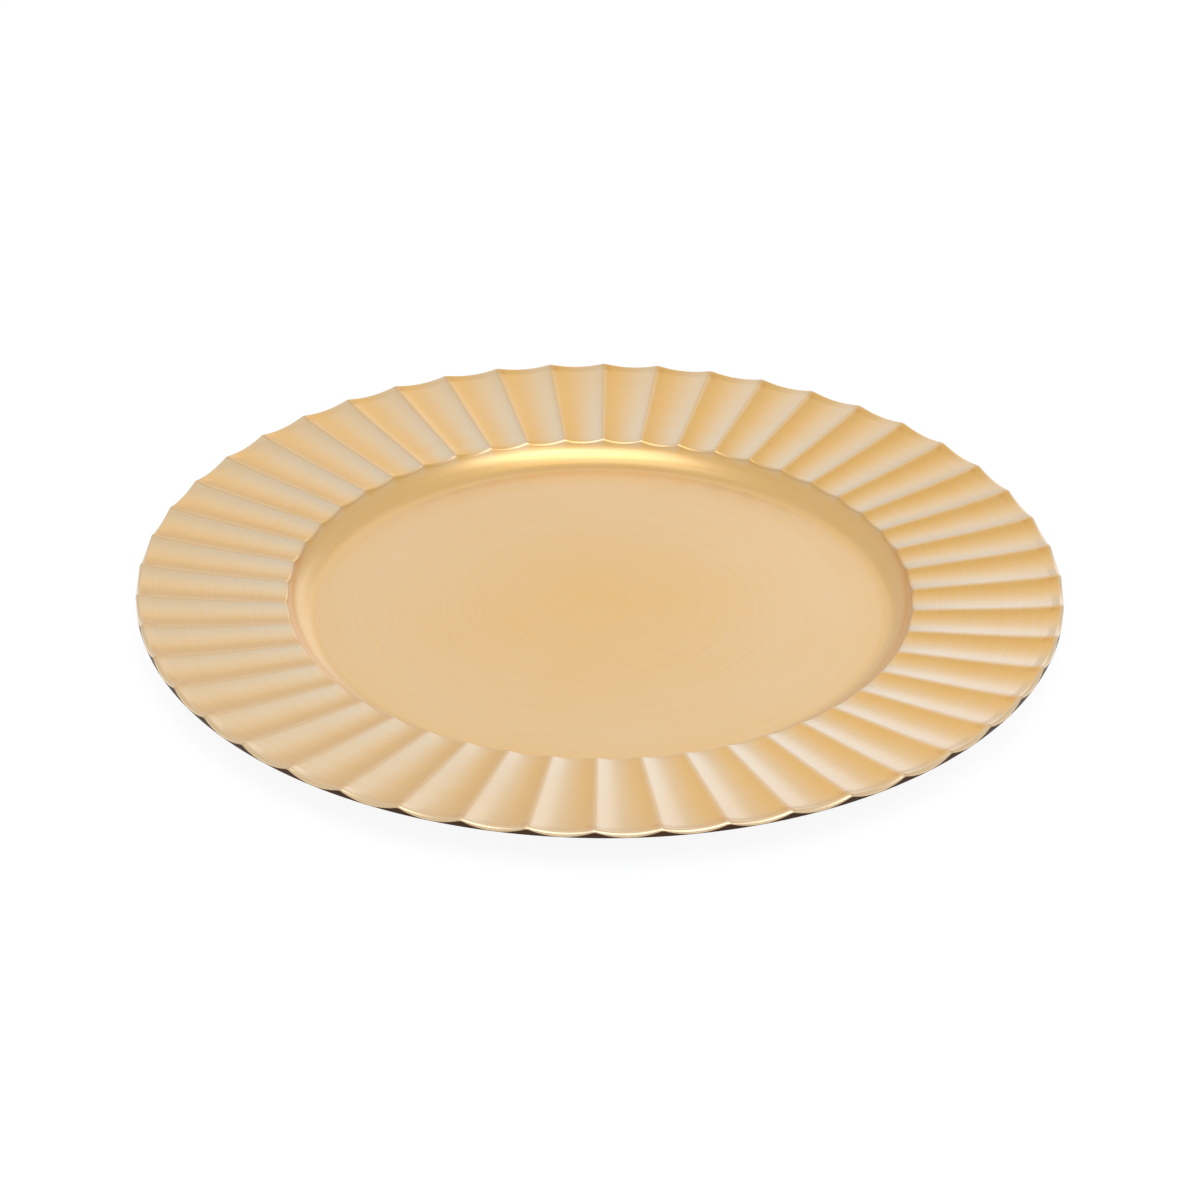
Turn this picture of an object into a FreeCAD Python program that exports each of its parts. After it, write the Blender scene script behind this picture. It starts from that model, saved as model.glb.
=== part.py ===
import FreeCAD, Part
import math
import os

import Sketcher

# Round serving tray of thin sheet metal: a flat floor, a coved well wall, a wide rim pressed
# into flutes, and an edge turned down over a stiffening wire that is tacked on with solder.
# Frame: origin at the centre of the flat underside, +Z up, millimetres.

DRIVING_DIMENSIONS = (
    ("tray_radius", 165.0, "outermost radius, at the turned-down lip"),
    ("sheet_gauge", 0.6, "thickness of the sheet"),
    ("floor_disc_radius", 92.0, "radius of the plain middle of the floor"),
    ("floor_radius", 99.8, "radius where the flat floor starts to curve up"),
    ("cove_radius", 12.5, "inside radius between floor and well wall"),
    ("wall_angle", 60.0, "slope of the well wall above the floor, in degrees"),
    ("shoulder_radius", 1.6, "outside radius where the well wall turns into the rim"),
    ("bend_radius", 1.2, "outside radius of the turned-down edge"),
    ("ridge_height", 15.5, "height of the edge at a ridge between two flutes"),
    ("flute_depth", 1.45, "how far the middle of a flute lies below its ridges at the edge"),
    ("flute_count", 48.0, "number of flutes round the rim"),
    ("apex_depth", 4.7, "depth below the underside of the point where all flutes would meet"),
    ("lip_height", 12.7, "height of the trimmed lower end of the turned-down lip"),
    ("wire_radius", 0.55, "radius of the stiffening wire's section"),
    ("tack_count", 12.0, "number of solder tacks on the wire"),
    ("tack_radius", 0.5, "radius of a solder tack's section"),
    ("tack_length", 4.0, "length of a solder tack along the wire"),
    ("tack_inset", 0.85, "how far a solder tack sits inside the wire's centre line"),
    ("tack_rise", 0.1, "how far a solder tack sits above the wire's centre line"),
)

# A flute is a shallow arc across, so its depth falls off with the square of the distance from its
# middle. These are the depths, as shares of the full one, at five evenly spaced planes.
FLUTE_SECTION_SHARES = (0.0, 0.75, 1.0, 0.75, 0.0)

START = 1
END = 2
CENTRE = 3
ORIGIN_POINT = (-1, 1)
VERTICAL_AXIS = -2


def make_sheet(doc):
    """The spreadsheet of driving dimensions, one alias a row."""
    sheet = doc.addObject("Spreadsheet::Sheet", "dims")
    for index, (alias, value, meaning) in enumerate(DRIVING_DIMENSIONS):
        row = index + 1
        sheet.set("A%d" % row, meaning)
        sheet.set("B%d" % row, str(value))
        sheet.setAlias("B%d" % row, alias)
    doc.recompute()
    return sheet


def origin_feature(body, role):
    """One of the body's own origin planes or axes."""
    for feature in body.Origin.OriginFeatures:
        if feature.Role == role:
            return feature
    raise RuntimeError("no origin feature " + role)


def sketch_on(body, name, plane_role, turn=0.0):
    """A sketch on one of the body's origin planes, turned about the sketch's own vertical."""
    sketch = body.newObject("Sketcher::SketchObject", name)
    sketch.AttachmentSupport = (origin_feature(body, plane_role), "")
    sketch.MapMode = "FlatFace"
    turned = FreeCAD.Rotation(FreeCAD.Vector(0, 1, 0), turn)
    sketch.AttachmentOffset = FreeCAD.Placement(FreeCAD.Vector(0, 0, 0), turned)
    return sketch


def add_line(sketch, start, end):
    first = FreeCAD.Vector(start[0], start[1], 0)
    last = FreeCAD.Vector(end[0], end[1], 0)
    return sketch.addGeometry(Part.LineSegment(first, last), False)


def add_arc(sketch, centre, radius, start_degrees, end_degrees):
    """An anticlockwise arc; returns its index and its two end points."""
    middle = FreeCAD.Vector(centre[0], centre[1], 0)
    circle = Part.Circle(middle, FreeCAD.Vector(0, 0, 1), radius)
    angles = (math.radians(start_degrees), math.radians(end_degrees))
    index = sketch.addGeometry(Part.ArcOfCircle(circle, angles[0], angles[1]), False)
    ends = []
    for angle in angles:
        ends.append((centre[0] + radius * math.cos(angle), centre[1] + radius * math.sin(angle)))
    return index, ends[0], ends[1]


def bind(sketch, constraint, name, expression):
    """Add a dimension to a sketch, name it and bind it to the spreadsheet."""
    index = sketch.addConstraint(constraint)
    sketch.renameConstraint(index, name)
    sketch.setExpression("Constraints." + name, expression)


def draw_bound_circle(sketch, radius, centre_x, centre_y):
    """A circle whose radius and centre are bound to expressions of the spreadsheet."""
    circle = Part.Circle(FreeCAD.Vector(1, 1, 0), FreeCAD.Vector(0, 0, 1), 1)
    index = sketch.addGeometry(circle, False)
    bind(sketch, Sketcher.Constraint("Radius", index, 1.0), "radius", radius)
    bind(sketch, Sketcher.Constraint("DistanceX", *ORIGIN_POINT, index, CENTRE, 1.0), "centre_x", centre_x)
    bind(sketch, Sketcher.Constraint("DistanceY", *ORIGIN_POINT, index, CENTRE, 1.0), "centre_y", centre_y)


def draw_skin(sketch, sheet, inset, crest):
    """One side of the sheet in a radial plane, floor to lip, as lines and tangent arcs.

    inset is 0 for the upper side and the gauge for the underside. The places are close to the
    final ones, and the sketch's dimensions settle them.
    """
    gauge = sheet.sheet_gauge
    cove = (sheet.floor_radius, gauge + sheet.cove_radius)
    bend = (sheet.tray_radius - sheet.bend_radius, crest - sheet.bend_radius)
    rim_slope = math.degrees(math.atan2(crest + sheet.apex_depth, sheet.tray_radius))
    half_turn = math.radians(sheet.wall_angle - rim_slope) / 2
    wall_top_radius = sheet.floor_radius + sheet.cove_radius
    rim_height = math.tan(math.radians(rim_slope)) * wall_top_radius - sheet.apex_depth
    shoulder = (wall_top_radius + sheet.shoulder_radius * math.tan(half_turn),
                rim_height - sheet.shoulder_radius)

    cove_arc, cove_low, cove_high = add_arc(
        sketch, cove, sheet.cove_radius + inset, -90, sheet.wall_angle - 90)
    shoulder_arc, shoulder_high, shoulder_low = add_arc(
        sketch, shoulder, sheet.shoulder_radius - inset, rim_slope + 90, sheet.wall_angle + 90)
    bend_arc, bend_low, bend_high = add_arc(
        sketch, bend, sheet.bend_radius - inset, 0, rim_slope + 90)
    floor = add_line(sketch, (sheet.floor_disc_radius, gauge - inset), cove_low)
    wall = add_line(sketch, cove_high, shoulder_low)
    rim = add_line(sketch, shoulder_high, bend_high)
    lip = add_line(sketch, bend_low, (sheet.tray_radius - inset, sheet.lip_height))

    for first, first_end, second, second_end in (
            (floor, END, cove_arc, START),
            (cove_arc, END, wall, START),
            (wall, END, shoulder_arc, END),
            (shoulder_arc, START, rim, START),
            (rim, END, bend_arc, END),
            (bend_arc, START, lip, START)):
        sketch.addConstraint(Sketcher.Constraint("Tangent", first, first_end, second, second_end))
    sketch.addConstraint(Sketcher.Constraint("Horizontal", floor))
    sketch.addConstraint(Sketcher.Constraint("Vertical", lip))
    return {"floor": floor, "cove": cove_arc, "wall": wall, "shoulder": shoulder_arc,
            "rim": rim, "bend": bend_arc, "lip": lip}


def draw_flute_section(body, sheet, name, turn, share):
    """The sheet's closed section in one radial plane; share is the flute's depth there."""
    sketch = sketch_on(body, name, "XZ_Plane", turn)
    crest = sheet.ridge_height - share * sheet.flute_depth
    upper = draw_skin(sketch, sheet, 0.0, crest)
    under = draw_skin(sketch, sheet, sheet.sheet_gauge, crest)
    tray_edge = sheet.tray_radius
    lip_end = add_line(sketch, (tray_edge, sheet.lip_height),
                       (tray_edge - sheet.sheet_gauge, sheet.lip_height))
    seam = add_line(sketch, (sheet.floor_disc_radius, 0), (sheet.floor_disc_radius, sheet.sheet_gauge))
    apex = sketch.addGeometry(Part.Point(FreeCAD.Vector(0, -sheet.apex_depth, 0)), True)

    for first, first_end, second, second_end in (
            (upper["lip"], END, lip_end, START),
            (lip_end, END, under["lip"], END),
            (under["floor"], START, seam, START),
            (seam, END, upper["floor"], START),
            (upper["cove"], CENTRE, under["cove"], CENTRE),
            (upper["shoulder"], CENTRE, under["shoulder"], CENTRE),
            (upper["bend"], CENTRE, under["bend"], CENTRE)):
        sketch.addConstraint(Sketcher.Constraint("Coincident", first, first_end, second, second_end))
    sketch.addConstraint(Sketcher.Constraint("Horizontal", lip_end))
    sketch.addConstraint(Sketcher.Constraint("Vertical", seam))
    sketch.addConstraint(Sketcher.Constraint("PointOnObject", seam, START, -1))
    sketch.addConstraint(Sketcher.Constraint("PointOnObject", apex, START, VERTICAL_AXIS))
    sketch.addConstraint(Sketcher.Constraint("PointOnObject", apex, START, upper["rim"]))

    gauge = sheet.sheet_gauge
    bind(sketch, Sketcher.Constraint("DistanceY", seam, START, seam, END, gauge),
         "gauge", "dims.sheet_gauge")
    bind(sketch, Sketcher.Constraint("DistanceX", *ORIGIN_POINT, seam, START, sheet.floor_disc_radius),
         "disc_radius", "dims.floor_disc_radius")
    bind(sketch, Sketcher.Constraint("DistanceX", *ORIGIN_POINT, upper["cove"], CENTRE,
                                     sheet.floor_radius),
         "floor_radius", "dims.floor_radius")
    bind(sketch, Sketcher.Constraint("Radius", upper["cove"], sheet.cove_radius),
         "cove_radius", "dims.cove_radius")
    bind(sketch, Sketcher.Constraint("Angle", -1, 1, upper["wall"], START,
                                     math.radians(sheet.wall_angle)),
         "wall_angle", "dims.wall_angle * 1 deg")
    bind(sketch, Sketcher.Constraint("Radius", upper["shoulder"], sheet.shoulder_radius),
         "shoulder_radius", "dims.shoulder_radius")
    bind(sketch, Sketcher.Constraint("Radius", under["shoulder"], sheet.shoulder_radius - gauge),
         "shoulder_inside", "dims.shoulder_radius - dims.sheet_gauge")
    bind(sketch, Sketcher.Constraint("Radius", upper["bend"], sheet.bend_radius),
         "bend_radius", "dims.bend_radius")
    bind(sketch, Sketcher.Constraint("Radius", under["bend"], sheet.bend_radius - gauge),
         "bend_inside", "dims.bend_radius - dims.sheet_gauge")
    bind(sketch, Sketcher.Constraint("DistanceX", *ORIGIN_POINT, upper["lip"], END, tray_edge),
         "tray_radius", "dims.tray_radius")
    bind(sketch, Sketcher.Constraint("DistanceY", *ORIGIN_POINT, upper["lip"], END,
                                     sheet.lip_height),
         "lip_height", "dims.lip_height")
    bind(sketch, Sketcher.Constraint("DistanceY", apex, START, *ORIGIN_POINT, sheet.apex_depth),
         "apex_depth", "dims.apex_depth")
    bind(sketch, Sketcher.Constraint("DistanceY", *ORIGIN_POINT, upper["bend"], CENTRE,
                                     crest - sheet.bend_radius),
         "crest", "dims.ridge_height - %s * dims.flute_depth - dims.bend_radius" % share)
    return sketch


def build_tray_sheet(doc, sheet):
    """The whole sheet: a plain floor disc, and one flute with its share of the well, repeated."""
    body = doc.addObject("PartDesign::Body", "tray_sheet")
    body.Label = "tray_sheet"

    disc_sketch = sketch_on(body, "floor_disc_sketch", "XY_Plane")
    circle = Part.Circle(FreeCAD.Vector(0, 0, 0), FreeCAD.Vector(0, 0, 1), sheet.floor_disc_radius)
    disc = disc_sketch.addGeometry(circle, False)
    disc_sketch.addConstraint(Sketcher.Constraint("Coincident", disc, CENTRE, *ORIGIN_POINT))
    bind(disc_sketch, Sketcher.Constraint("Radius", disc, sheet.floor_disc_radius),
         "disc_radius", "dims.floor_disc_radius")
    pad = body.newObject("PartDesign::Pad", "floor_disc")
    pad.Profile = disc_sketch
    pad.setExpression("Length", "dims.sheet_gauge")
    doc.recompute()

    flute_pitch = 360.0 / sheet.flute_count
    last_section = len(FLUTE_SECTION_SHARES) - 1
    sections = []
    for index, share in enumerate(FLUTE_SECTION_SHARES):
        turn = flute_pitch * index / last_section
        sections.append(draw_flute_section(body, sheet, "flute_section_%d" % index, turn, share))
    doc.recompute()

    flute = body.newObject("PartDesign::AdditiveLoft", "flute")
    flute.Profile = sections[0]
    flute.Sections = sections[1:]
    flute.Ruled = False
    flute.Closed = False
    doc.recompute()

    pattern = body.newObject("PartDesign::PolarPattern", "flutes")
    pattern.Originals = [flute]
    pattern.Axis = (origin_feature(body, "Z_Axis"), [""])
    pattern.Angle = 360
    pattern.setExpression("Occurrences", "dims.flute_count")
    body.Tip = pattern
    doc.recompute()
    return body


def build_edge_wire(doc):
    """A plain hoop of round wire that lies inside the bend of the edge at the foot of each flute."""
    body = doc.addObject("PartDesign::Body", "edge_wire")
    body.Label = "edge_wire"
    sketch = sketch_on(body, "wire_section", "XZ_Plane")
    draw_bound_circle(sketch, "dims.wire_radius", "dims.tray_radius - dims.bend_radius",
                      "dims.ridge_height - dims.flute_depth - dims.bend_radius")
    hoop = body.newObject("PartDesign::Revolution", "hoop")
    hoop.Profile = sketch
    hoop.ReferenceAxis = (origin_feature(body, "Z_Axis"), [""])
    hoop.Angle = 360
    doc.recompute()
    return body


def build_solder_tacks(doc, sheet):
    """Short beads of solder under the middles of evenly spaced flutes, holding the wire."""
    body = doc.addObject("PartDesign::Body", "solder_tacks")
    body.Label = "solder_tacks"
    body.AllowCompound = True
    half_pitch = 180.0 / sheet.flute_count
    sketch = sketch_on(body, "tack_section", "XZ_Plane", half_pitch)
    draw_bound_circle(sketch, "dims.tack_radius",
                      "dims.tray_radius - dims.bend_radius - dims.tack_inset",
                      "dims.ridge_height - dims.flute_depth - dims.bend_radius + dims.tack_rise")
    tack = body.newObject("PartDesign::Pad", "tack")
    tack.Profile = sketch
    tack.Midplane = True
    tack.setExpression("Length", "dims.tack_length")
    doc.recompute()

    pattern = body.newObject("PartDesign::PolarPattern", "tacks")
    pattern.Originals = [tack]
    pattern.Axis = (origin_feature(body, "Z_Axis"), [""])
    pattern.Angle = 360
    pattern.setExpression("Occurrences", "dims.tack_count")
    body.Tip = pattern
    doc.recompute()
    return body


def check_objects(doc):
    """Stop if any object of the document has failed."""
    for item in doc.Objects:
        if "Invalid" in item.State or "Error" in item.State:
            raise RuntimeError("%s failed: %s" % (item.Name, item.State))


def check_node(node, solid_count):
    """Stop unless a sub-part has a valid shape of the expected number of solids."""
    shape = node.Shape
    if shape.isNull() or not shape.isValid():
        raise RuntimeError(node.Label + " has no valid shape")
    if len(shape.Solids) != solid_count:
        raise RuntimeError("%s has %d solids" % (node.Label, len(shape.Solids)))
    print(node.Label, "solids", solid_count, "volume", round(shape.Volume, 1))


def main():
    os.makedirs("parts", exist_ok=True)
    doc = FreeCAD.newDocument("tray")
    sheet = make_sheet(doc)
    solid_counts = (
        (build_tray_sheet(doc, sheet), 1),
        (build_edge_wire(doc), 1),
        (build_solder_tacks(doc, sheet), int(sheet.tack_count)),
    )
    check_objects(doc)
    for node, solid_count in solid_counts:
        check_node(node, solid_count)
    for node, _ in solid_counts:
        node.Shape.exportStep("parts/%s.step" % node.Label)


main()
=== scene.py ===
"""The looks of a round fluted tray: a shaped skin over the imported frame, satin gold, soft light."""

import math

import bpy
import numpy as np
from mathutils import Euler, Matrix, Vector


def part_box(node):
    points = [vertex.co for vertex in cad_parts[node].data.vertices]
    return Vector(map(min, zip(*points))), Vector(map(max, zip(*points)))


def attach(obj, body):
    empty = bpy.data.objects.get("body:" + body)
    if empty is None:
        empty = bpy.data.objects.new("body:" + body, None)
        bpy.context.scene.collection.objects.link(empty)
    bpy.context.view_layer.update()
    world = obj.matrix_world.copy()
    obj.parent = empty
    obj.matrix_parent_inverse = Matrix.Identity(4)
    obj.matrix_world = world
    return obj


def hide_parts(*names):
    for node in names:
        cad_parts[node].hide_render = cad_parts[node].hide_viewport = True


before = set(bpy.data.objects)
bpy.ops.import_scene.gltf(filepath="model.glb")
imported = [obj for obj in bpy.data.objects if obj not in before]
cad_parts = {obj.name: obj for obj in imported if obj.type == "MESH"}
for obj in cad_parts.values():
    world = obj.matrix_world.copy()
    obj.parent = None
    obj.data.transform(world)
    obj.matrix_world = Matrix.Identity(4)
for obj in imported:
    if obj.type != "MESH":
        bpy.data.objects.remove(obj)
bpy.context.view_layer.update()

MM = 0.001

# ---------------------------------------------------------------- sizes, in metres
sheet_low, sheet_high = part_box("tray_sheet")
TRAY_RADIUS = sheet_high.x
RIDGE_HEIGHT = sheet_high.z
GAUGE = 0.6 * MM
FLUTE_COUNT = 48
FLUTE_DEPTH = 1.45 * MM
APEX_DEPTH = 5.0 * MM
FLOOR_RADIUS = 100.4 * MM
COVE_RADIUS = 12.5 * MM
WALL_ANGLE = math.radians(60)
SHOULDER_RADIUS = 1.6 * MM
LIP_HEIGHT = 12.7 * MM
BEND_WIDTH = 1.7 * MM
BEND_DROP = 1.0 * MM
BEND_DROP_MORE = 0.2 * MM
LIP_END_ROUNDING = 0.1 * MM
RIDGE_ROUNDING = 0.5 * MM
RIM_SAG = 0.35 * MM
EDGE_FLARE = 0.3 * MM
EDGE_FLARE_WIDTH = 2.6 * MM
BEAD_GROOVE = 0.07 * MM
BEAD_GROOVE_WIDTH = 0.55 * MM
BEND_PULL = 0.62
WELL_MOUTH = 112.0 * MM

# paleness of the gilding: 0 is deep gold and 1 is champagne. Places across a flute run from 0 at
# one ridge to 1 at the next
PALE_PLACE = 0.09
DEEP_PLACE = 0.90
FLOOR_MIDDLE_TONE = 0.15
FLOOR_EDGE_TONE = 0.45
COVE_TONE = 0.2
COVE_TONE_FADE = 4.0 * MM
RIM_TONE_FADE = 0.3
# painted highlight: the bend round the edge is paler gold, to whiten its bright line
BEAD_HIGHLIGHT_TONE = 0.7

# painted shade: brown lines along the ridges and under the shoulder; and orange-brown spots at the
# outer ends of the flutes
RIDGE_SHADE_PLACE = 0.022
RIDGE_SHADE_WIDTH = 0.020
RIDGE_SHADE_STRENGTH = 0.65
SHOULDER_SHADE_RINGS = 1.9
SHOULDER_SHADE_STRENGTH = 0.9
SHADE_LINE_MIX = 0.5
CORNER_SPOT_PLACE = 0.94
CORNER_SPOT_SPAN = 0.05
CORNER_SPOT_FROM_EDGE = 3.6 * MM
CORNER_SPOT_LENGTH = 1.6 * MM
CORNER_SPOT_MIX = 0.75

# how far below the crest of the edge the gilding gives way to the dark back: at a ridge, what the
# middle of a flute has more, and the width of the change
GILT_DROP = 0.42 * MM
GILT_DROP_MORE = 0.55 * MM
GILT_FADE = 0.22 * MM


# ---------------------------------------------------------------- small helpers
def smooth_step(low, high, value):
    """0 below low, 1 above high, and a smooth change between."""
    t = np.clip((value - low) / (high - low), 0, 1)
    return t * t * (3 - 2 * t)


def soft_min(a, b, width):
    """The smaller of two values, rounded off where they cross."""
    near = np.clip(width - np.abs(a - b), 0, None) / width
    return np.minimum(a, b) - near * near * width / 4


def new_object(name, verts, faces):
    mesh = bpy.data.meshes.new(name)
    mesh.from_pydata(verts, [], faces)
    mesh.update()
    obj = bpy.data.objects.new(name, mesh)
    bpy.context.scene.collection.objects.link(obj)
    return obj


# ---------------------------------------------------------------- the tray's skin
def flute_angles():
    """Angles round the tray, closer together at the ridges, where the surface turns quickly."""
    half = np.array([0.0, 0.015, 0.035, 0.06, 0.09, 0.17, 0.32, 0.54, 0.77])
    share = np.concatenate([half, [1.0], 2 - half[:0:-1]]) / 2
    pitch = 2 * math.pi / FLUTE_COUNT
    return (np.arange(FLUTE_COUNT)[:, None] + share[None, :]).ravel() * pitch


def flute_drop(angles):
    """How far the rim's crest lies below the ridges at each angle."""
    place = (angles * FLUTE_COUNT / (2 * math.pi)) % 1.0
    this_flute = (2 * place - 1) ** 2
    next_flute = (2 * np.minimum(place, 1 - place) + 1) ** 2
    rise = soft_min(this_flute, next_flute, RIDGE_ROUNDING / FLUTE_DEPTH)
    return (1 - rise) * FLUTE_DEPTH


def arc_points(centre, radius, start, end, count):
    """Points on an arc of the radial plane, both ends included; angles may be arrays."""
    t = np.linspace(0, 1, count)[:, None]
    angle = start + (end - start) * t
    return centre[0] + radius * np.cos(angle), centre[1] + radius * np.sin(angle)


def upper_profile(drop):
    """The upper skin in every radial plane, from the middle to the end of the bend.

    Returns radius and height arrays, one row a ring and one column an angle, and the numbers of
    rings before the shoulder and before the bend.
    """
    wide = np.ones_like(drop)
    crest = RIDGE_HEIGHT - drop
    slope = np.arctan2(crest - EDGE_FLARE + APEX_DEPTH, TRAY_RADIUS - BEND_WIDTH)
    rows_r, rows_z = [], []

    def add(radius, height):
        rows_r.append(np.atleast_2d(radius * wide))
        rows_z.append(np.atleast_2d(height * wide))

    for radius in np.linspace(0.02, 1, 8) * FLOOR_RADIUS:
        add(radius, GAUGE)
    cove_centre = (FLOOR_RADIUS, GAUGE + COVE_RADIUS)
    radius, height = arc_points(cove_centre, COVE_RADIUS, -math.pi / 2,
                                WALL_ANGLE - math.pi / 2, 17)
    add(radius[1:], height[1:])
    wall_foot = (radius[-1], height[-1])

    # the shoulder is an arc tangent to the well wall and to the rim
    wall_run = np.array([math.cos(WALL_ANGLE), math.sin(WALL_ANGLE)])
    rise = wall_foot[1] + APEX_DEPTH - np.tan(slope) * wall_foot[0]
    along = rise / (wall_run[0] * np.tan(slope) - wall_run[1])
    corner = (wall_foot[0] + along * wall_run[0], wall_foot[1] + along * wall_run[1])
    reach = SHOULDER_RADIUS * np.tan((WALL_ANGLE - slope) / 2)
    centre = (corner[0] + reach * np.cos(slope) + SHOULDER_RADIUS * np.sin(slope),
              corner[1] + reach * np.sin(slope) - SHOULDER_RADIUS * np.cos(slope))
    radius, height = arc_points(centre, SHOULDER_RADIUS, WALL_ANGLE + math.pi / 2,
                                slope + math.pi / 2, 9)
    add((wall_foot[0] + radius[0]) / 2, (wall_foot[1] + height[0]) / 2)
    wall_top_ring = sum(len(rows) for rows in rows_r)
    add(radius, height)

    # the rim sags a little, flares up again at the edge and has a faint groove beside the bead
    start = radius[-1]
    end = TRAY_RADIUS - BEND_WIDTH
    share = np.concatenate([np.linspace(0, 0.9, 14)[1:], np.linspace(0.9, 1, 14)[1:]])
    share = share[:, None]
    radius = start + (end - start) * share
    from_groove = end - 1.2 * BEAD_GROOVE_WIDTH - radius
    groove = BEAD_GROOVE * np.exp(-(from_groove / BEAD_GROOVE_WIDTH) ** 2)
    sag = RIM_SAG * 6.75 * share ** 2 * (1 - share)
    flare = EDGE_FLARE * smooth_step(end - EDGE_FLARE_WIDTH, end, radius)
    height = radius * np.tan(slope) - APEX_DEPTH - sag - groove + flare
    add(radius, height)
    rings_before_bend = sum(len(rows) for rows in rows_r)

    # the bend is a curve from the rim's last slope to straight down
    last_slope = np.arctan2(height[-1] - height[-2], radius[-1] - radius[-2])
    first = (radius[-1], height[-1])
    bend_drop = BEND_DROP + BEND_DROP_MORE * drop / FLUTE_DEPTH
    last = (TRAY_RADIUS * wide, crest - bend_drop)
    second = (first[0] + BEND_PULL * BEND_WIDTH * np.cos(last_slope),
              first[1] + BEND_PULL * BEND_WIDTH * np.sin(last_slope))
    third = (last[0], last[1] + BEND_PULL * bend_drop)
    t = np.linspace(0, 1, 13)[1:, None]
    curve = []
    for axis in (0, 1):
        curve.append((1 - t) ** 3 * first[axis] + 3 * (1 - t) ** 2 * t * second[axis]
                     + 3 * (1 - t) * t ** 2 * third[axis] + t ** 3 * last[axis])
    add(curve[0], curve[1])
    return np.concatenate(rows_r), np.concatenate(rows_z), wall_top_ring, rings_before_bend


def lip_profile(upper_r, upper_z):
    """The straight part of the turned-down lip below the bend, down to its rounded end."""
    t = np.linspace(0, 1, 3)[1:, None]
    radius = np.repeat(upper_r[-1:], len(t), axis=0)
    height = upper_z[-1] + (LIP_HEIGHT + LIP_END_ROUNDING - upper_z[-1]) * t
    return radius, height


def offset_profile(radius, height, distance):
    """The same curves moved to the right of their direction of travel."""
    dr = np.gradient(radius, axis=0)
    dz = np.gradient(height, axis=0)
    length = np.hypot(dr, dz)
    return radius + dz / length * distance, height - dr / length * distance


def skin_section(angles):
    """The whole closed section, upper skin, lip, rounded lip end and underside, at every angle.

    Returns radius and height arrays, and the rings where the shoulder starts and where the bend
    starts and ends.
    """
    drop = flute_drop(angles)
    upper_r, upper_z, wall_top_ring, rings_before_bend = upper_profile(drop)
    lip_r, lip_z = lip_profile(upper_r, upper_z)
    top_r = np.concatenate([upper_r, lip_r])
    top_z = np.concatenate([upper_z, lip_z])
    under_r, under_z = offset_profile(top_r, top_z, GAUGE)
    under_r[-1] = top_r[-1] - GAUGE
    under_z[-1] = top_z[-1]
    turn = np.linspace(0, -math.pi, 5)[1:-1, None]
    end_r = top_r[-1] - GAUGE / 2 + GAUGE / 2 * np.cos(turn)
    end_z = top_z[-1] + LIP_END_ROUNDING * np.sin(turn)
    # the underside needs only every second ring
    radius = np.concatenate([top_r, end_r, under_r[::-2]])
    height = np.concatenate([top_z, end_z, under_z[::-2]])
    bend_end = len(upper_r) - 1
    return radius, height, wall_top_ring, rings_before_bend, bend_end


def ring_faces(ring_count, angle_count):
    """Quads between neighbouring rings, and a fan at each of the two centres."""
    ring = np.arange(ring_count - 1)[:, None] * angle_count
    here = np.arange(angle_count)[None, :]
    after = (here + 1) % angle_count
    quads = np.stack([ring + here, ring + angle_count + here,
                      ring + angle_count + after, ring + after], axis=-1).reshape(-1, 4)
    faces = quads.tolist()
    top_centre = ring_count * angle_count
    under_centre = top_centre + 1
    last = (ring_count - 1) * angle_count
    for index in range(angle_count):
        follow = (index + 1) % angle_count
        faces.append([top_centre, index, follow])
        faces.append([under_centre, last + follow, last + index])
    return faces


def pale_tone(radius, angles):
    """How pale the gilding is: 0 is deep gold and 1 is champagne.

    The tray turned as it was sprayed, so the same flank of every flute is the paler one. The well
    is deeper gold in the middle and in the cove.
    """
    place = (angles * FLUTE_COUNT / (2 * math.pi)) % 1.0
    past_palest = (place - PALE_PLACE) % 1.0
    palest_to_deepest = DEEP_PLACE - PALE_PLACE
    deeper = np.minimum(past_palest / palest_to_deepest,
                        (1 - past_palest) / (1 - palest_to_deepest))
    flank = 1 - smooth_step(0, 1, deeper)[None, :]
    outward = (radius - WELL_MOUTH) / (TRAY_RADIUS - WELL_MOUTH)
    on_rim = flank * (1.0 - RIM_TONE_FADE * np.clip(outward, 0, 1))
    on_floor = (FLOOR_MIDDLE_TONE + (FLOOR_EDGE_TONE - FLOOR_MIDDLE_TONE)
                * smooth_step(0, FLOOR_RADIUS, radius))
    cove = smooth_step(FLOOR_RADIUS - COVE_TONE_FADE, FLOOR_RADIUS + COVE_TONE_FADE, radius)
    in_well = on_floor * (1 - cove) + COVE_TONE * cove
    blend = smooth_step(WELL_MOUTH - 2.0 * MM, WELL_MOUTH + 1.5 * MM, radius)
    return in_well * (1 - blend) + on_rim * blend


def ridge_shade_lines(radius, angles):
    """A faint darker line along every ridge: painted shade on one side of the crest."""
    place = (angles * FLUTE_COUNT / (2 * math.pi)) % 1.0
    from_line = (place - RIDGE_SHADE_PLACE + 0.5) % 1.0 - 0.5
    line = np.exp(-(from_line / RIDGE_SHADE_WIDTH) ** 2)[None, :]
    return line * smooth_step(WELL_MOUTH, WELL_MOUTH + 1.0 * MM, radius)


def orange_corner_spots(radius, angles):
    """Small orange-brown spots in the outer corner of every flute."""
    place = (angles * FLUTE_COUNT / (2 * math.pi)) % 1.0
    corner = np.exp(-((place - CORNER_SPOT_PLACE) / CORNER_SPOT_SPAN) ** 2)[None, :]
    from_middle = radius - (TRAY_RADIUS - CORNER_SPOT_FROM_EDGE)
    return corner * np.exp(-(from_middle / CORNER_SPOT_LENGTH) ** 2)


def set_attribute(skin, name, values, top_centre, under_centre):
    """Store one number a point, with the two centre points last."""
    attribute = skin.data.attributes.new(name, "FLOAT", "POINT")
    numbers = np.concatenate([values.ravel(), [top_centre, under_centre]])
    attribute.data.foreach_set("value", numbers.astype(np.float32))


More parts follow.
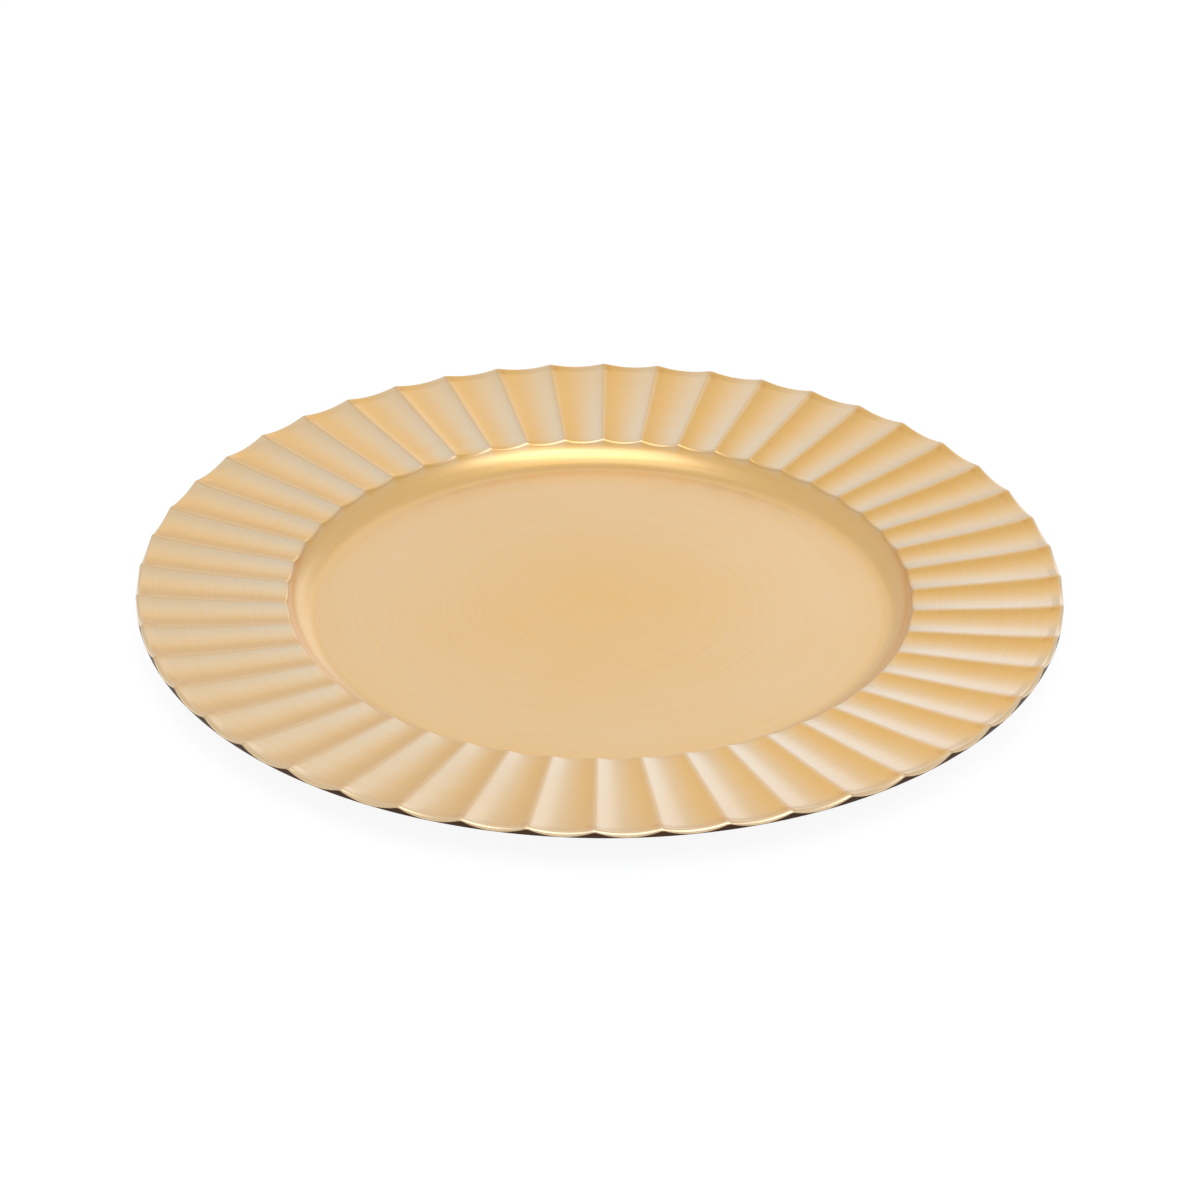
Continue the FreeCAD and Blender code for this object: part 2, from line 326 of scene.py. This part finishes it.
def build_tray_skin():
    """The visible tray sheet, and the point attributes that its material reads."""
    angles = flute_angles()
    radius, height, wall_top_ring, bend_start, bend_end = skin_section(angles)
    x = radius * np.cos(angles)
    y = radius * np.sin(angles)
    verts = np.stack([x, y, height], axis=-1).reshape(-1, 3)
    centres = np.array([[0, 0, GAUGE], [0, 0, 0]])
    verts = np.concatenate([verts, centres])
    skin = new_object("tray_sheet_skin", verts.tolist(), ring_faces(len(radius), len(angles)))
    skin.data.polygons.foreach_set("use_smooth", [True] * len(skin.data.polygons))

    ring = np.arange(len(radius))[:, None]
    drop = flute_drop(angles)
    gilt_drop = GILT_DROP + GILT_DROP_MORE * drop / FLUTE_DEPTH
    below_crest = RIDGE_HEIGHT - drop - height
    back = smooth_step(gilt_drop, gilt_drop + GILT_FADE, below_crest)
    back = np.where(ring < bend_start, 0.0, np.where(ring > bend_end, 1.0, back))
    set_attribute(skin, "back", back, 0.0, 1.0)
    pale = pale_tone(radius, angles)
    # painted highlight: the bend round the edge takes the paler bead tone
    pale = np.where(ring > bend_start, BEAD_HIGHLIGHT_TONE, pale)
    set_attribute(skin, "pale", pale, FLOOR_MIDDLE_TONE, 0.0)
    # orange-brown spots in the outer corner of every flute
    set_attribute(skin, "orange_corner", orange_corner_spots(radius, angles), 0.0, 0.0)
    # painted shade: a brown band just under the shoulder, and a darker line beside every ridge
    shade_under_shoulder = np.exp(-((ring - wall_top_ring - 1) / SHOULDER_SHADE_RINGS) ** 2)
    painted_shade_line = np.maximum(RIDGE_SHADE_STRENGTH * ridge_shade_lines(radius, angles),
                            SHOULDER_SHADE_STRENGTH * shade_under_shoulder)
    set_attribute(skin, "painted_shade_line", painted_shade_line, 0.0, 0.0)
    return skin


# ---------------------------------------------------------------- materials
DEEP_GOLD = (0.83, 0.474, 0.115, 1.0)
CHAMPAGNE = (0.80, 0.645, 0.445, 1.0)
CORNER_ORANGE = (0.74, 0.36, 0.07, 1.0)
SHADE_LINE_BROWN = (0.54, 0.29, 0.09, 1.0)
PATINA_DARK = (0.040, 0.019, 0.010, 1.0)
PATINA_LIGHT = (0.085, 0.044, 0.024, 1.0)
GILT_ROUGHNESS = 0.30
BRUSH_ROUGHNESS = 0.16
BACK_ROUGHER = 0.2
BACK_COAT_LOSS = 0.9


class Nodes:
    """A few short ways to add and join the nodes of one material."""

    def __init__(self, name):
        self.material = bpy.data.materials.new(name)
        self.material.use_nodes = True
        self.tree = self.material.node_tree
        self.shader = self.tree.nodes["Principled BSDF"]

    def add(self, kind, **settings):
        node = self.tree.nodes.new(kind)
        for name, value in settings.items():
            setattr(node, name, value)
        return node

    def put(self, socket, value):
        """Join another node's output to a socket, or set the socket's own value."""
        if isinstance(value, bpy.types.NodeSocket):
            self.tree.links.new(value, socket)
        else:
            socket.default_value = value

    def math(self, operation, *values):
        node = self.add("ShaderNodeMath", operation=operation)
        for index, value in enumerate(values):
            self.put(node.inputs[index], value)
        return node.outputs[0]

    def combine(self, x, y, z):
        node = self.add("ShaderNodeCombineXYZ")
        for index, value in enumerate((x, y, z)):
            self.put(node.inputs[index], value)
        return node.outputs[0]

    def noise(self, vector, scale, detail=2.0, roughness=0.5):
        node = self.add("ShaderNodeTexNoise")
        self.put(node.inputs["Vector"], vector)
        node.inputs["Scale"].default_value = scale
        node.inputs["Detail"].default_value = detail
        node.inputs["Roughness"].default_value = roughness
        return node.outputs["Fac"]

    def remap(self, value, low, high, to_low, to_high):
        node = self.add("ShaderNodeMapRange")
        for index, item in enumerate((value, low, high, to_low, to_high)):
            self.put(node.inputs[index], item)
        return node.outputs[0]

    def mix_colour(self, factor, first, second, blend="MIX"):
        node = self.add("ShaderNodeMix", data_type="RGBA", blend_type=blend)
        self.put(node.inputs[0], factor)
        self.put(node.inputs[6], first)
        self.put(node.inputs[7], second)
        return node.outputs[2]

    def attribute(self, name):
        return self.add("ShaderNodeAttribute", attribute_name=name).outputs["Fac"]

    def bump(self, height, strength, distance):
        node = self.add("ShaderNodeBump")
        node.inputs["Strength"].default_value = strength
        node.inputs["Distance"].default_value = distance
        self.put(node.inputs["Height"], height)
        return node.outputs["Normal"]


def circular_streaks(nodes):
    """What brush marks that run in circles round the tray are made from.

    Returns the object's own position, the radius, and the unit direction round the circle.
    """
    position = nodes.add("ShaderNodeTexCoord").outputs["Object"]
    parts = nodes.add("ShaderNodeSeparateXYZ")
    nodes.put(parts.inputs[0], position)
    x, y = parts.outputs[0], parts.outputs[1]
    radius = nodes.math("SQRT", nodes.math("ADD", nodes.math("MULTIPLY", x, x),
                                           nodes.math("MULTIPLY", y, y)))
    # the unit direction, scaled, runs smoothly round the circle with no seam
    safe = nodes.math("MAXIMUM", radius, 0.0005)
    around_x = nodes.math("DIVIDE", x, safe)
    around_y = nodes.math("DIVIDE", y, safe)
    return position, radius, around_x, around_y


def streak_vector(nodes, radius, around_x, around_y, per_metre, round_scale):
    """Coordinates for noise drawn out along the angle: fine across, long around."""
    return nodes.combine(nodes.math("MULTIPLY", around_x, round_scale),
                         nodes.math("MULTIPLY", around_y, round_scale),
                         nodes.math("MULTIPLY", radius, per_metre))


def gilt_material():
    """Pale satin gold with fine circular brushing under a clear lacquer, and a dark brown back."""
    nodes = Nodes("gilt_sheet")
    position, radius, around_x, around_y = circular_streaks(nodes)
    fine = nodes.noise(streak_vector(nodes, radius, around_x, around_y, 5200, 2.2), 1.0, 3.0, 0.6)
    broad = nodes.noise(streak_vector(nodes, radius, around_x, around_y, 900, 1.1), 1.0, 2.0, 0.5)
    cloud = nodes.noise(position, 22.0, 3.0, 0.55)

    in_well = nodes.remap(radius, 0.108, 0.116, 1.0, 0.35)
    brush = nodes.math("MULTIPLY", nodes.math("SUBTRACT", fine, 0.5), in_well)
    uneven = nodes.math("ADD", nodes.math("MULTIPLY", nodes.math("SUBTRACT", broad, 0.5), 0.35),
                        nodes.math("MULTIPLY", nodes.math("SUBTRACT", cloud, 0.5), 0.25))
    tone = nodes.math("ADD", nodes.attribute("pale"),
                      nodes.math("ADD", uneven, nodes.math("MULTIPLY", brush, 0.3)))
    gold = nodes.mix_colour(tone, DEEP_GOLD, CHAMPAGNE)
    corner_spot_mix = nodes.math("MULTIPLY", nodes.attribute("orange_corner"), CORNER_SPOT_MIX)
    gold = nodes.mix_colour(corner_spot_mix, gold, CORNER_ORANGE)
    # painted shade: brown lines along the ridges and under the shoulder
    line = nodes.math("MULTIPLY", nodes.attribute("painted_shade_line"), SHADE_LINE_MIX)
    gold = nodes.mix_colour(line, gold, SHADE_LINE_BROWN)
    patina = nodes.mix_colour(cloud, PATINA_DARK, PATINA_LIGHT)
    colour = nodes.mix_colour(nodes.attribute("back"), gold, patina)
    nodes.put(nodes.shader.inputs["Base Color"], colour)
    nodes.shader.inputs["Metallic"].default_value = 1.0
    rough = nodes.math("ADD", GILT_ROUGHNESS, nodes.math("MULTIPLY", brush, BRUSH_ROUGHNESS))
    nodes.put(nodes.shader.inputs["Roughness"],
              nodes.math("ADD", rough, nodes.math("MULTIPLY", nodes.attribute("back"),
                                                 BACK_ROUGHER)))
    uncoated = nodes.math("MULTIPLY", nodes.attribute("back"), BACK_COAT_LOSS)
    nodes.put(nodes.shader.inputs["Coat Weight"], nodes.math("SUBTRACT", 1.0, uncoated))
    nodes.shader.inputs["Coat Roughness"].default_value = 0.22
    nodes.shader.inputs["Coat IOR"].default_value = 1.5
    nodes.put(nodes.shader.inputs["Normal"], nodes.bump(brush, 0.25, 0.00006))
    return nodes.material


def wire_material():
    """Dark drawn iron wire with fine lengthwise marks."""
    nodes = Nodes("dark_wire")
    position, radius, around_x, around_y = circular_streaks(nodes)
    drawn = nodes.noise(streak_vector(nodes, radius, around_x, around_y, 9000, 3.0), 1.0, 2.0, 0.6)
    spots = nodes.noise(position, 420.0, 3.0, 0.6)
    colour = nodes.mix_colour(drawn, (0.09, 0.07, 0.06, 1.0), (0.20, 0.17, 0.15, 1.0))
    rusty = nodes.remap(spots, 0.6, 0.75, 0.0, 0.6)
    colour = nodes.mix_colour(rusty, colour, (0.16, 0.07, 0.035, 1.0))
    nodes.put(nodes.shader.inputs["Base Color"], colour)
    nodes.shader.inputs["Metallic"].default_value = 1.0
    nodes.put(nodes.shader.inputs["Roughness"], nodes.remap(drawn, 0.3, 0.7, 0.34, 0.5))
    nodes.put(nodes.shader.inputs["Normal"], nodes.bump(drawn, 0.3, 0.00005))
    return nodes.material


def solder_material():
    """Dull grey solder with a slightly lumpy skin."""
    nodes = Nodes("solder")
    position = nodes.add("ShaderNodeTexCoord").outputs["Object"]
    lumps = nodes.noise(position, 900.0, 3.0, 0.6)
    colour = nodes.mix_colour(lumps, (0.36, 0.35, 0.33, 1.0), (0.62, 0.60, 0.57, 1.0))
    nodes.put(nodes.shader.inputs["Base Color"], colour)
    nodes.shader.inputs["Metallic"].default_value = 1.0
    nodes.put(nodes.shader.inputs["Roughness"], nodes.remap(lumps, 0.3, 0.7, 0.42, 0.6))
    nodes.put(nodes.shader.inputs["Normal"], nodes.bump(lumps, 0.5, 0.0001))
    return nodes.material


def floor_material():
    """A plain pale studio floor."""
    nodes = Nodes("studio_floor")
    position = nodes.add("ShaderNodeTexCoord").outputs["Object"]
    shade = nodes.noise(position, 3.0, 2.0, 0.5)
    colour = nodes.mix_colour(shade, (0.10, 0.10, 0.10, 1.0), (0.11, 0.11, 0.11, 1.0))
    nodes.put(nodes.shader.inputs["Base Color"], colour)
    nodes.shader.inputs["Roughness"].default_value = 0.7
    nodes.shader.inputs["Specular IOR Level"].default_value = 0.2
    nodes.shader.inputs["Emission Color"].default_value = (1.0, 1.0, 1.0, 1.0)
    nodes.shader.inputs["Emission Strength"].default_value = 0.915
    return nodes.material


def dress_node(name, material):
    """Give a carried-over CAD node its material."""
    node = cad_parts[name]
    if not node.material_slots:
        node.data.materials.append(material)
    for slot in node.material_slots:
        slot.material = material


# ---------------------------------------------------------------- studio
COOL = (0.85, 0.95, 1.2)


def direction(azimuth, elevation):
    """A unit vector; azimuth 0 is +X and 90 is +Y, away from the camera."""
    a, e = math.radians(azimuth), math.radians(elevation)
    return Vector((math.cos(e) * math.cos(a), math.cos(e) * math.sin(a), math.sin(e)))


def softbox(name, azimuth, elevation, distance, width, height, power,
            colour=(1.0, 1.0, 1.0)):
    """A rectangular area light that faces the tray."""
    light = bpy.data.lights.new(name, "AREA")
    light.shape = "RECTANGLE"
    light.size = width
    light.size_y = height
    light.energy = power
    light.color = colour
    lamp = bpy.data.objects.new(name, light)
    away = direction(azimuth, elevation)
    lamp.location = away * distance
    lamp.rotation_euler = away.to_track_quat("Z", "Y").to_euler()
    bpy.context.scene.collection.objects.link(lamp)


def build_floor():
    """A square floor at the height of the tray's underside."""
    half = 6.0
    corners = [(-half, -half, 0), (half, -half, 0), (half, half, 0), (-half, half, 0)]
    floor = new_object("studio_floor", corners, [(0, 1, 2, 3)])
    floor.data.materials.append(floor_material())


def build_world():
    """An even white surround."""
    world = bpy.data.worlds.new("studio")
    bpy.context.scene.world = world
    world.use_nodes = True
    background = world.node_tree.nodes["Background"]
    background.inputs["Color"].default_value = (1.0, 1.0, 1.0, 1.0)
    background.inputs["Strength"].default_value = 0.775


def build_lights():
    """A plain soft studio: two cool softboxes in front, one overhead and two weak panels behind."""
    softbox("front_softbox", -90, 65, 2.0, 1.5, 1.2, 8.0, COOL)
    softbox("front_right_softbox", -50, 50, 2.0, 1.0, 1.0, 4.0, COOL)
    softbox("overhead_softbox", 0, 90, 2.0, 1.0, 1.0, 2.0)
    softbox("back_panel", 90, 35, 2.0, 1.0, 1.0, 0.6)
    softbox("back_right_panel", 70, 15, 2.0, 1.0, 0.8, 1.0, COOL)


def build_camera():
    """The photographer's place: low elevation, long lens, aimed a little in front of the middle."""
    ridge_radius = TRAY_RADIUS - 0.82 * MM
    elevation = math.radians(30.615)
    camera_data = bpy.data.cameras.new("camera")
    camera_data.sensor_width = 36.0
    camera_data.lens = 100.97
    camera_data.clip_end = 50.0
    camera = bpy.data.objects.new("camera", camera_data)
    aim = Vector((0.0002 * ridge_radius, -0.1320 * ridge_radius, RIDGE_HEIGHT))
    distance = 7.222 * ridge_radius
    back = Vector((0, -math.cos(elevation), math.sin(elevation)))
    place = Matrix.Translation(aim + back * distance)
    look = Euler((math.pi / 2 - elevation, 0, 0)).to_matrix().to_4x4()
    roll = Matrix.Rotation(math.radians(0.511), 4, "Z")
    swing = Matrix.Rotation(math.radians(0.349), 4, "Z")
    camera.matrix_world = swing @ place @ look @ roll
    bpy.context.scene.collection.objects.link(camera)
    bpy.context.scene.camera = camera


# ---------------------------------------------------------------- putting it together
def main():
    build_camera()
    skin = build_tray_skin()
    skin.data.materials.append(gilt_material())
    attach(skin, "root")
    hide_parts("tray_sheet")
    dress_node("edge_wire", wire_material())
    dress_node("solder_tacks", solder_material())
    build_floor()
    build_world()
    build_lights()
    bpy.context.scene.view_settings.view_transform = "Standard"


main()
